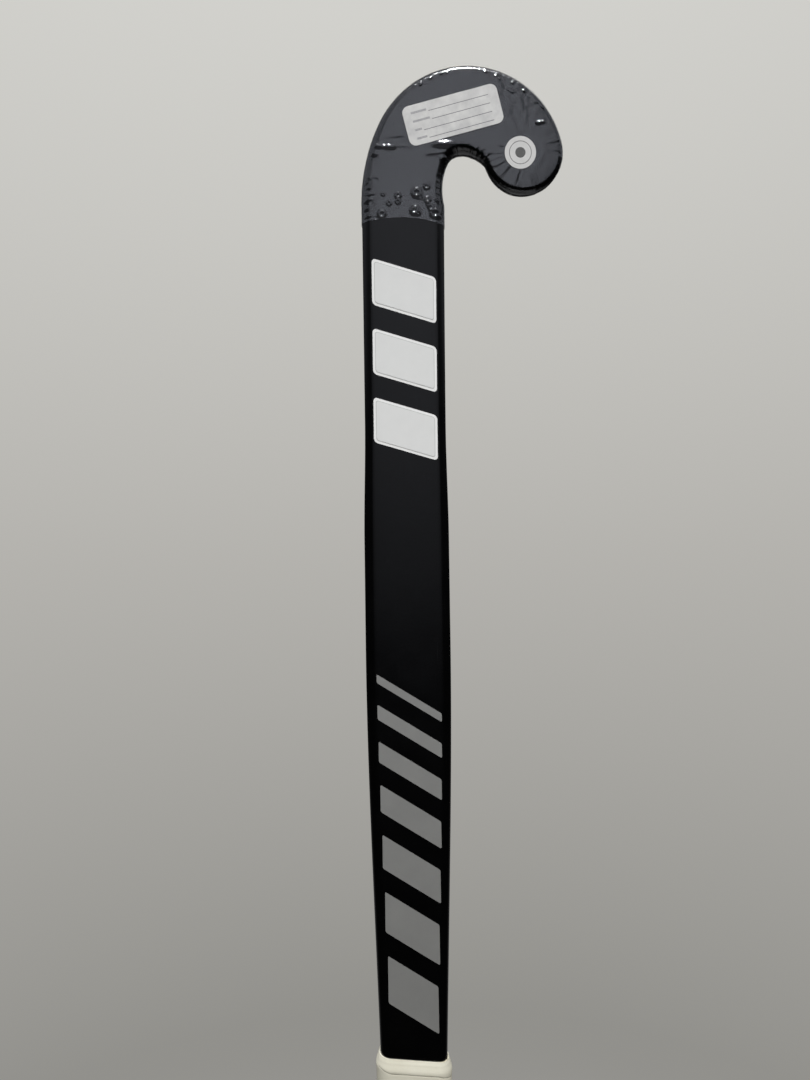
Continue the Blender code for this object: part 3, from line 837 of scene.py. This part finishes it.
def sideSpot(station, side):
    # where the outline runs on the outer side (1) or the inner side (-1)
    reach = side * station["outer" if side > 0 else "inner"]
    return Vector((station["x"] - reach * math.cos(station["heading"]),
                   station["z"] + reach * math.sin(station["heading"])))


def filmRows():
    # rows of places, and beside each place its way in from the outline and its way along it
    fine = film["fine"]
    inset = -film["offset"]
    rows, notes = [], []
    start = shaftStation(hookStart)
    for step in range(film["straightSteps"]):
        row, note = [], []
        for across, depth in sectionLoop(start, inset, fine):
            level = mix(filmEdgeAt(-across), hookStart, step / film["straightSteps"])
            row.append(place(-across, depth, level))
            note.append((start["outer"] - abs(across), level))
        rows.append(row)
        notes.append(note)
    finePart, fineSteps = film["throatFine"]
    throatShares = [finePart * share for share in evenShares(fineSteps)]
    throatShares += [mix(finePart, 1.0, share) for share in evenShares(film["throatSteps"])]
    runs = {1: hookStart, -1: hookStart}
    before = start
    for station in [start] + hookStations(hookStart, throatShares, evenShares(film["hookSteps"])):
        for side in runs:
            runs[side] += (sideSpot(station, side) - sideSpot(before, side)).length
        before = station
        rows.append(sectionRing(station, inset, fine))
        notes.append([
            (station["outer" if across > 0 else "inner"] - abs(across), runs[1 if across > 0 else -1])
            for across, depth in sectionLoop(station, inset, fine)
        ])
    return rows, notes, runs[1]


def makeFilm():
    fine = film["fine"]
    rows, notes, hookEnd = filmRows()
    arcs = toeArcs(-film["offset"], fine, film["toeSteps"])
    profile = halfSection(toe["outer"], toe, -film["offset"], fine)
    bm = bmesh.new()
    details = {}
    made = addSheet(bm, rows, closed=True)
    for vert, note in zip(made, [note for line in notes for note in line + line[:1]]):
        details[tuple(vert.co)] = note
    arcNotes = [(toe["outer"] - across, hookEnd + toe["outer"] * math.pi * step / film["toeSteps"])
                for step in range(film["toeSteps"] + 1) for across, depth in profile]
    for vert, note in zip(addSheet(bm, arcs, closed=False), arcNotes):
        details.setdefault(tuple(vert.co), note)
    weld(bm)
    bm.normal_update()
    faceNormal = Vector((0.0, -1.0, -faceSlope)).normalized()
    moves = []
    for vert in bm.verts:
        edge, run = details[tuple(vert.co)]
        front = blend(vert.normal.dot(faceNormal), 0.3, 0.95)
        lift = filmLift(vert.co.x / mm, vert.co.z / mm, edge / mm, run / mm, front)
        overEdge = (vert.co.z - filmEdgeAt(vert.co.x)) / film["beadWidth"]
        lift += film["bead"] * math.exp(-overEdge ** 2)
        moves.append((vert, vert.normal * lift * mm))
    for vert, move in moves:
        vert.co += move
    bmesh.ops.solidify(bm, geom=bm.faces[:], thickness=-film["thickness"])
    finishPiece("shrink_film", bm, [clearFilm()], "head_film", smoothAngle=80)


makeFilm()
print("film is made")


# Label and sticker on the film
def faceSpot(x, z, lift):
    return place(x, -lift, z)


def paper():
    surface = newSurface("label_paper", Roughness=0.55)
    mottled = cloud(surface, 140.0, detail=5.0, rough=0.6)
    setColours(surface, remap(surface, mottled, 0.35, 0.68), label["paper"], label["shade"])
    fibre = cloud(surface, 1.0, detail=3.0, vector=stretched(surface, scale=(500, 500, 2200)))
    addBump(surface, fibre, depth=0.00003, strength=0.4)
    addBump(surface, cloud(surface, 160.0, detail=3.0), depth=0.0002, strength=0.35)
    return surface["material"]


def ink(name, colour):
    surface = newSurface(name, Roughness=0.5)
    setColours(surface, cloud(surface, 900.0), colour, tuple(2 * part for part in colour))
    return surface["material"]


def roundedPlate(spots, corner, segments):
    bm = bmesh.new()
    bm.faces.new([bm.verts.new(spot) for spot in spots])
    bmesh.ops.bevel(bm, geom=bm.verts[:], offset=corner, segments=segments, profile=0.5,
                    affect="VERTICES", material=-1)
    return bm


def cutAcross(bm, axis, places):
    for level in places:
        spot = Vector((0.0, 0.0, 0.0))
        spot[axis] = level
        normal = Vector((0.0, 0.0, 0.0))
        normal[axis] = 1.0
        geom = bm.verts[:] + bm.edges[:] + bm.faces[:]
        bmesh.ops.bisect_plane(bm, geom=geom, dist=1e-7, plane_co=spot, plane_no=normal)


def thickenSheet(bm, thickness):
    bm.normal_update()
    if sum(face.normal.y * face.calc_area() for face in bm.faces) > 0:
        bmesh.ops.reverse_faces(bm, faces=bm.faces)
    bmesh.ops.solidify(bm, geom=bm.faces[:], thickness=-thickness)
    bmesh.ops.recalc_face_normals(bm, faces=bm.faces)


def makeLabel():
    halfX, halfZ = label["length"] / 2, label["height"] / 2
    spots = (-halfX, 0, -halfZ), (halfX, 0, -halfZ), (halfX, 0, halfZ), (-halfX, 0, halfZ)
    bm = roundedPlate(spots, label["corner"], segments=8)
    half = label["lineWidth"] / 2
    low, high = label["blockRise"], label["blockRise"] + label["blockHeight"]
    rows, columns = label["rows"], label["columns"]
    cutAcross(bm, 2, [height + rise for height, start in label["lines"] for rise in (-half, half, low, high)])
    cutAcross(bm, 2, [halfZ * step / rows for step in range(1 - rows, rows)])
    cutAcross(bm, 0, [start for height, start in label["lines"]] + [label["lineEnd"], label["blockStart"]])
    cutAcross(bm, 0, [start - label["blockGap"] for height, start in label["lines"]])
    cutAcross(bm, 0, [halfX * step / columns for step in range(1 - columns, columns)])
    for face in bm.faces:
        middle = face.calc_center_median()
        for height, start in label["lines"]:
            if abs(middle.z - height) < half and start < middle.x < label["lineEnd"]:
                face.material_index = 1
            inBlock = label["blockStart"] < middle.x < start - label["blockGap"]
            if inBlock and low < middle.z - height < high:
                face.material_index = 2
    turn = Matrix.Rotation(-label["turn"], 3, "Y")
    for vert in bm.verts:
        flat = turn @ vert.co
        nearEdge = max(abs(vert.co.x) / halfX, abs(vert.co.z) / halfZ)
        lift = label["waviness"] * noise.noise((vert.co.x * 90, vert.co.z * 90, 4.0))
        edgeWave = noise.noise((vert.co.x * 160, vert.co.z * 160, 9.0))
        lift += label["edgeWaviness"] * blend(nearEdge, 0.8, 1.0) * edgeWave
        vert.co = faceSpot(label["x"] + flat.x, label["z"] + flat.z, label["lift"] + lift * mm)
    thickenSheet(bm, label["thickness"])
    materials = [paper(), ink("ruled_line", label["ink"]), ink("grey_block", label["blockGrey"])]
    finishPiece("paper_label", bm, materials, "size_label")


def stickerVinyl():
    surface = newSurface("sticker_vinyl", Roughness=0.32)
    setColours(surface, cloud(surface, 300.0), sticker["white"], sticker["shade"])
    addBump(surface, cloud(surface, 250.0), depth=0.00006, strength=0.4)
    return surface["material"]


def makeSticker():
    bm = bmesh.new()
    upright = Matrix.Rotation(math.pi / 2, 4, "X")
    bmesh.ops.create_circle(bm, cap_ends=True, segments=72, radius=sticker["radius"], matrix=upright)
    ringOuter = sticker["ringRadius"] + sticker["ringWidth"]
    rims = sticker["radius"] - ringOuter, sticker["ringWidth"], sticker["ringRadius"] - sticker["dotRadius"]
    middle = bm.faces[:]
    for rim in rims:
        bmesh.ops.inset_region(bm, faces=middle, thickness=rim, use_even_offset=True, use_boundary=True)
    for face in bm.faces:
        away = sum(vert.co.length for vert in face.verts) / len(face.verts)
        if sticker["ringRadius"] < away < ringOuter or away < sticker["dotRadius"] * 1.01:
            face.material_index = 1
    for vert in bm.verts:
        lift = sticker["waviness"] * noise.noise((vert.co.x * 120, vert.co.z * 120, 6.0))
        vert.co = faceSpot(sticker["x"] + vert.co.x, sticker["z"] + vert.co.z, sticker["lift"] + lift * mm)
    thickenSheet(bm, sticker["thickness"])
    materials = [stickerVinyl(), ink("sticker_line", sticker["line"])]
    finishPiece("round_sticker", bm, materials, "toe_sticker")


makeLabel()
makeSticker()
print("label and sticker are made")


# Transfers: white bars near the head, and a ladder of silver stripes that grow towards the grip
bars = {
    "belowFilm": 0.0285,
    "filmEdge": hookStart - 0.0077,
    "height": 0.0265,
    "spacing": 0.0400,
    "count": 3,
    "slant": 0.30,
    "corner": 0.0024,
    "margin": 0.0006,
    "border": 0.0014,
    "line": 0.00032,
    "fill": (0.78, 0.79, 0.79),
    "edgeWhite": (0.90, 0.905, 0.905),
    "lineGrey": (0.55, 0.56, 0.56),
    "innerCorners": 0.6,  # an inset layer's corners are tighter by this share of its inset
}
stripes = {
    "top": 0.5902,
    "height": 0.0050,
    "growth": 0.0035,
    "gap": 0.0125,
    "count": 7,
    "slant": 0.62,
    "corner": 0.0010,
    "margin": 0.0006,
    "silver": (0.40, 0.40, 0.385),
    "silverDeep": (0.33, 0.33, 0.32),
    "roughness": (0.42, 0.52),
}
transfer = {"lift": 0.00003, "thickness": 0.00003, "cut": 0.004, "fading": 0.94}


def slantedPlate(half, top, height, slant, corner, inset=0.0):
    half -= inset
    top -= inset * math.hypot(1, slant)
    height -= 2 * inset * math.hypot(1, slant)
    rise = slant * half
    spots = ((-half, 0, top - height + rise), (half, 0, top - height - rise),
             (half, 0, top - rise), (-half, 0, top + rise))
    return roundedPlate(spots, corner, segments=6)


def layOnShaft(bm, layer=0):
    heights = [vert.co.z for vert in bm.verts]
    cutAcross(bm, 2, levels(min(heights), max(heights), transfer["cut"]))
    reach = max(abs(vert.co.x) for vert in bm.verts)
    cutAcross(bm, 0, levels(-reach, reach, transfer["cut"] / 2))
    lift = transfer["lift"] + layer * (transfer["thickness"] + transfer["lift"])
    for vert in bm.verts:
        sunk = faceFall(vert.co.x, shaftHalfWidth(vert.co.z))
        vert.co = place(vert.co.x, sunk - lift, vert.co.z)
    thickenSheet(bm, transfer["thickness"])


def flatHalf(top, height, margin):
    # how far the flat of the face reaches to each side, less a margin
    middle = top - height / 2
    return shaftHalfWidth(middle) - shaftCorner(middle) - margin


def printedWhite(name, colour):
    surface = newSurface(name, Roughness=0.38)
    faded = tuple(part * transfer["fading"] for part in colour)
    setColours(surface, cloud(surface, 160.0, detail=4.0), colour, faded)
    addBump(surface, cloud(surface, 700.0), depth=0.00002, strength=0.4)
    return surface["material"]


def silverInk():
    surface = newSurface("silver_ink", Metallic=0.55)
    flakes = cells(surface, 2600.0, output="Color")
    setColours(surface, cloud(surface, 70.0), stripes["silver"], stripes["silverDeep"])
    rough = remap(surface, flakes, 0.0, 1.0, *stripes["roughness"])
    join(surface, rough, surface["shader"].inputs["Roughness"])
    addBump(surface, cloud(surface, 800.0), depth=0.00002, strength=0.4)
    return surface["material"]


def makeBars():
    names = {"white_edge": "edgeWhite", "thin_grey_line": "lineGrey", "white_fill": "fill"}
    materials = [printedWhite(name, bars[key]) for name, key in names.items()]
    insets = (0.0, bars["border"], bars["border"] + bars["line"])
    for number in range(bars["count"]):
        top = bars["filmEdge"] - bars["belowFilm"] - number * bars["spacing"]
        half = flatHalf(top, bars["height"], bars["margin"])
        stack = bmesh.new()
        for layer, inset in enumerate(insets):
            corner = bars["corner"] - bars["innerCorners"] * inset
            plate = slantedPlate(half, top, bars["height"], bars["slant"], corner, inset)
            layOnShaft(plate, layer)
            for face in plate.faces:
                face.material_index = layer
            sheet = bpy.data.meshes.new("layer")
            plate.to_mesh(sheet)
            stack.from_mesh(sheet)
            bpy.data.meshes.remove(sheet)
            plate.free()
        name, node = f"white_bar_print_{number + 1}", f"white_bar_{number + 1}"
        finishPiece(name, stack, materials, node)


def makeStripes():
    materials = [silverInk()]
    top = stripes["top"]
    for number in range(stripes["count"]):
        height = stripes["height"] + number * stripes["growth"]
        half = flatHalf(top, height, stripes["margin"])
        bm = slantedPlate(half, top, height, stripes["slant"], stripes["corner"])
        layOnShaft(bm)
        name, node = f"silver_stripe_print_{number + 1}", f"silver_stripe_{number + 1}"
        finishPiece(name, bm, materials, node)
        top -= height + stripes["gap"]


makeBars()
makeStripes()
print("transfers are made")


# Grip: one cream tape wound up the handle, with its end tape and the butt cap
grip = {
    "fine": {"face": 14, "corner": 8, "back": 16},
    "top": 0.3840,  # where its upper edge is pressed down onto the shaft
    "edgeSlope": 0.095,
    "inner": 0.0008,
    "thickness": 0.0019,
    "pitch": 0.0220,
    "gap": 0.00024,
    "edgeInner": 0.00008,
    "edgeThickness": 0.00075,  # a bead at the edge, drawn thin behind it, and then the full tape
    "drawnThickness": 0.00070,
    "bulge": 0.00009,
    "bulgeBelow": 0.0048,
    "bulgeReach": 0.0016,
    "bulgeUnevenness": 0.9,
    # heights below the upper edge where it lifts onto the adhesive, leaves the bead and leaves the thin part
    "lifts": (0.0, 0.0020),
    "leavesBead": (0.0003, 0.0014),
    "leavesThin": (0.0014, 0.0060),
    "unevenness": 0.00010,
    "grain": 110,
    "slivers": 14,  # a turn cut narrower than the pitch over this is left out
    # height over the tape's back across its width, as shares of the width and of the thickness
    "profile": (
        (0.0, 0.92), (0.02, 0.96), (0.05, 0.985), (0.10, 1.0), (0.20, 1.02), (0.35, 1.03), (0.50, 1.03),
        (0.60, 1.03), (0.66, 1.02), (0.72, 1.02), (0.77, 1.01), (0.82, 1.0), (0.86, 1.0), (0.89, 0.99),
        (0.915, 0.99), (0.935, 0.98), (0.95, 0.98), (0.965, 0.97), (0.98, 0.955), (0.99, 0.94), (1.0, 0.90),
    ),
    "cream": (0.705, 0.685, 0.577),
    "creamShade": (0.62, 0.595, 0.487),
}
gripStart = shell["start"]


def creamGrip():
    surface = newSurface("cream_grip", Roughness=0.6)
    soft = cloud(surface, 60.0, detail=4.0)
    setColours(surface, remap(surface, soft, 0.3, 0.75), grip["cream"], grip["creamShade"])
    setRoughness(surface, soft, 0.50, 0.66)
    addBump(surface, cells(surface, 1100.0), depth=0.00005, strength=0.5)
    addBump(surface, cloud(surface, 260.0), depth=0.00015, strength=0.3)
    return surface["material"]


def gripPlace(index, height, fullness):
    # over the handle, never above the grip's slanted upper edge, where the tape is drawn thin onto the shaft
    fine = grip["fine"]
    across = sectionLoop(shaftStation(grip["top"]), -grip["inner"], fine)[index][0]
    ceiling = grip["top"] + grip["edgeSlope"] * across
    level = min(max(height, gripStart), ceiling)
    below = ceiling - level
    inner = mix(grip["edgeInner"], grip["inner"], blend(below, *grip["lifts"]))
    drawn = mix(grip["edgeThickness"], grip["drawnThickness"], blend(below, *grip["leavesBead"]))
    thick = mix(drawn, grip["thickness"], blend(below, *grip["leavesThin"]))
    reach = inner + thick * fullness
    across, depth = sectionLoop(shaftStation(level), -reach, fine)[index]
    pucker = noise.noise(place(-across, depth, level) * grip["grain"])
    bulge = grip["bulge"] * math.exp(-((below - grip["bulgeBelow"]) / grip["bulgeReach"]) ** 2)
    bulge *= 1 + grip["bulgeUnevenness"] * pucker
    reach += fullness * (bulge + grip["unevenness"] * pucker)
    across, depth = sectionLoop(shaftStation(level), -reach, fine)[index]
    return place(-across, depth, level), ceiling


def makeGrip():
    loop = sectionLoop(shaftStation(grip["top"] / 2), -grip["inner"], grip["fine"])
    lengths = [math.dist(here, there) for here, there in zip(loop, loop[1:] + loop[:1])]
    shares = [sum(lengths[:index]) / sum(lengths) for index in range(len(loop))]
    count = len(loop)
    width = grip["pitch"] - grip["gap"]
    sliver = grip["pitch"] / grip["slivers"]
    profile = ((0.0, 0.0),) + grip["profile"] + ((1.0, 0.0),)
    rows = []
    for step in range(-count, math.ceil(grip["top"] / grip["pitch"] + 2) * count):
        index = step % count
        low = gripStart + grip["pitch"] * (step // count + shares[index])
        ceiling = gripPlace(index, low, 0.0)[1]
        if low + width < gripStart + sliver or low > ceiling - sliver:
            continue
        span = min(width, ceiling - low)
        rows.append([gripPlace(index, low + span * share, fullness)[0] for share, fullness in profile])
    bm = bmesh.new()
    addSheet(bm, rows, closed=True)
    closeEnds(bm)
    print("grip:", round(len(rows) / count, 1), "turns")
    finishPiece("wound_grip", bm, [creamGrip()], "grip_wrap", smoothAngle=55)


endTape = {
    "width": 0.0150,
    "inner": 0.0030,
    "thickness": 0.0003,
    "swell": 0.0001,  # stands out this much more at its middle
    "dark": (0.012, 0.012, 0.013),
    "light": (0.020, 0.020, 0.021),
}
tapeOuter = endTape["inner"] + endTape["thickness"]
cap = {
    "flange": 0.0030,
    "edge": 0.0010,
    "edgeSteps": 6,
    "spigot": 0.018,
    "wall": 0.0020,
    "inset": 0.0023,
    "rim": 0.0040,  # the butt stands on this rim, round a shallow recess
    "recess": 0.0005,
    "recessSlope": 0.0006,
    "dark": (0.018, 0.018, 0.018),
    "light": (0.030, 0.030, 0.029),
}


def tapeVinyl():
    surface = newSurface("end_tape_vinyl", IOR=1.5)
    setColours(surface, cloud(surface, 120.0), endTape["dark"], endTape["light"])
    setRoughness(surface, cloud(surface, 300.0), 0.30, 0.42)
    creped = cloud(surface, 1.0, vector=stretched(surface, scale=(60, 60, 1400)))
    addBump(surface, creped, depth=0.00004, strength=0.5)
    return surface["material"]


def capRubber():
    surface = newSurface("cap_rubber")
    setColours(surface, cloud(surface, 200.0), cap["dark"], cap["light"])
    setRoughness(surface, cloud(surface, 80.0), 0.55, 0.70)
    addBump(surface, cells(surface, 1500.0), depth=0.00005, strength=0.5)
    return surface["material"]


def buttRings(stops):
    return [sectionRing(shaftStation(level), inset, grip["fine"]) for level, inset in stops]


def makeEndTape():
    inner = -endTape["inner"]
    low, top = gripStart, gripStart + endTape["width"]
    middle = mix(low, top, 0.5)
    bm = bmesh.new()
    addSheet(bm, buttRings((
        (low, inner), (low, -tapeOuter), (middle, -tapeOuter - endTape["swell"]), (top, -tapeOuter),
        (top, inner), (middle, inner), (low, inner))), closed=True)
    weld(bm)
    finishPiece("finishing_tape", bm, [tapeVinyl()], "grip_end_tape")


def makeCap():
    bore = cap["inset"] + cap["wall"]
    spigotEnd = cap["flange"] + cap["spigot"]
    stops = []
    for step in range(cap["edgeSteps"] + 1):
        turn = math.pi / 2 * step / cap["edgeSteps"]
        stops.append((cap["edge"] * (1 - math.cos(turn)), cap["edge"] * (1 - math.sin(turn)) - tapeOuter))
    stops += [(cap["flange"], -tapeOuter), (cap["flange"], cap["inset"]),
              (spigotEnd, cap["inset"]), (spigotEnd, bore), (cap["flange"], bore)]
    bm = bmesh.new()
    addSheet(bm, buttRings(stops), closed=True)
    closeEnds(bm)
    base = [face for face in bm.faces
            if len(face.verts) > 4 and face.calc_center_median().z < cap["edge"] / 2]
    for width, depth in (cap["rim"], 0.0), (cap["recessSlope"], -cap["recess"]):
        bmesh.ops.inset_region(bm, faces=base, thickness=width, depth=depth,
                               use_even_offset=True, use_boundary=True)
    bmesh.ops.recalc_face_normals(bm, faces=bm.faces)
    finishPiece("rubber_cap", bm, [capRubber()], "butt_cap")


makeGrip()
makeEndTape()
makeCap()
print("grip, end tape and cap are made")


# Inner pieces stay as the frame has them, with materials of their own
foams = {
    "head_core": ("head_foam", (0.66, 0.54, 0.33), (0.45, 0.34, 0.19), 700.0),
    "butt_plug": ("plug_foam", (0.60, 0.57, 0.50), (0.42, 0.39, 0.33), 500.0),
}
tubes = {"dark": (0.020, 0.020, 0.022), "light": (0.050, 0.050, 0.054), "weave": 160.0, "unevenness": 1.5}
adhesive = {"deep": (0.66, 0.60, 0.44), "light": (0.74, 0.69, 0.54)}


def foam(name, light, deep, scale):
    surface = newSurface(name, Roughness=0.9)
    pores = cells(surface, scale)
    setColours(surface, remap(surface, pores, 0.0, 0.6), deep, light)
    addBump(surface, pores, depth=0.0004, strength=0.7)
    return surface["material"]


def innerLaminate():
    surface = newSurface("inner_laminate", Roughness=0.5)
    vector = stretched(surface, turn=(0, math.radians(45), 0))
    inputs = {"Scale": tubes["weave"], "Distortion": tubes["unevenness"], "Vector": vector}
    weave = addNode(surface, "TexWave", inputs).outputs["Fac"]
    setColours(surface, weave, tubes["dark"], tubes["light"])
    addBump(surface, weave, depth=0.0001, strength=0.4)
    return surface["material"]


def stickyTape():
    surface = newSurface("adhesive_tape", Roughness=0.65)
    crepe = cloud(surface, 1.0, vector=stretched(surface, scale=(300, 300, 1800)))
    setColours(surface, crepe, adhesive["deep"], adhesive["light"])
    addBump(surface, crepe, depth=0.0001, strength=0.6)
    return surface["material"]


innerMaterials = {nodeName: foam(*values) for nodeName, values in foams.items()}
innerMaterials["grip_adhesive"] = stickyTape()
innerMaterials["heel_side_tube"] = innerMaterials["toe_side_tube"] = innerLaminate()
for nodeName, material in innerMaterials.items():
    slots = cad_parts[nodeName].data.materials
    slots.clear()
    slots.append(material)
print("inner pieces have their materials")
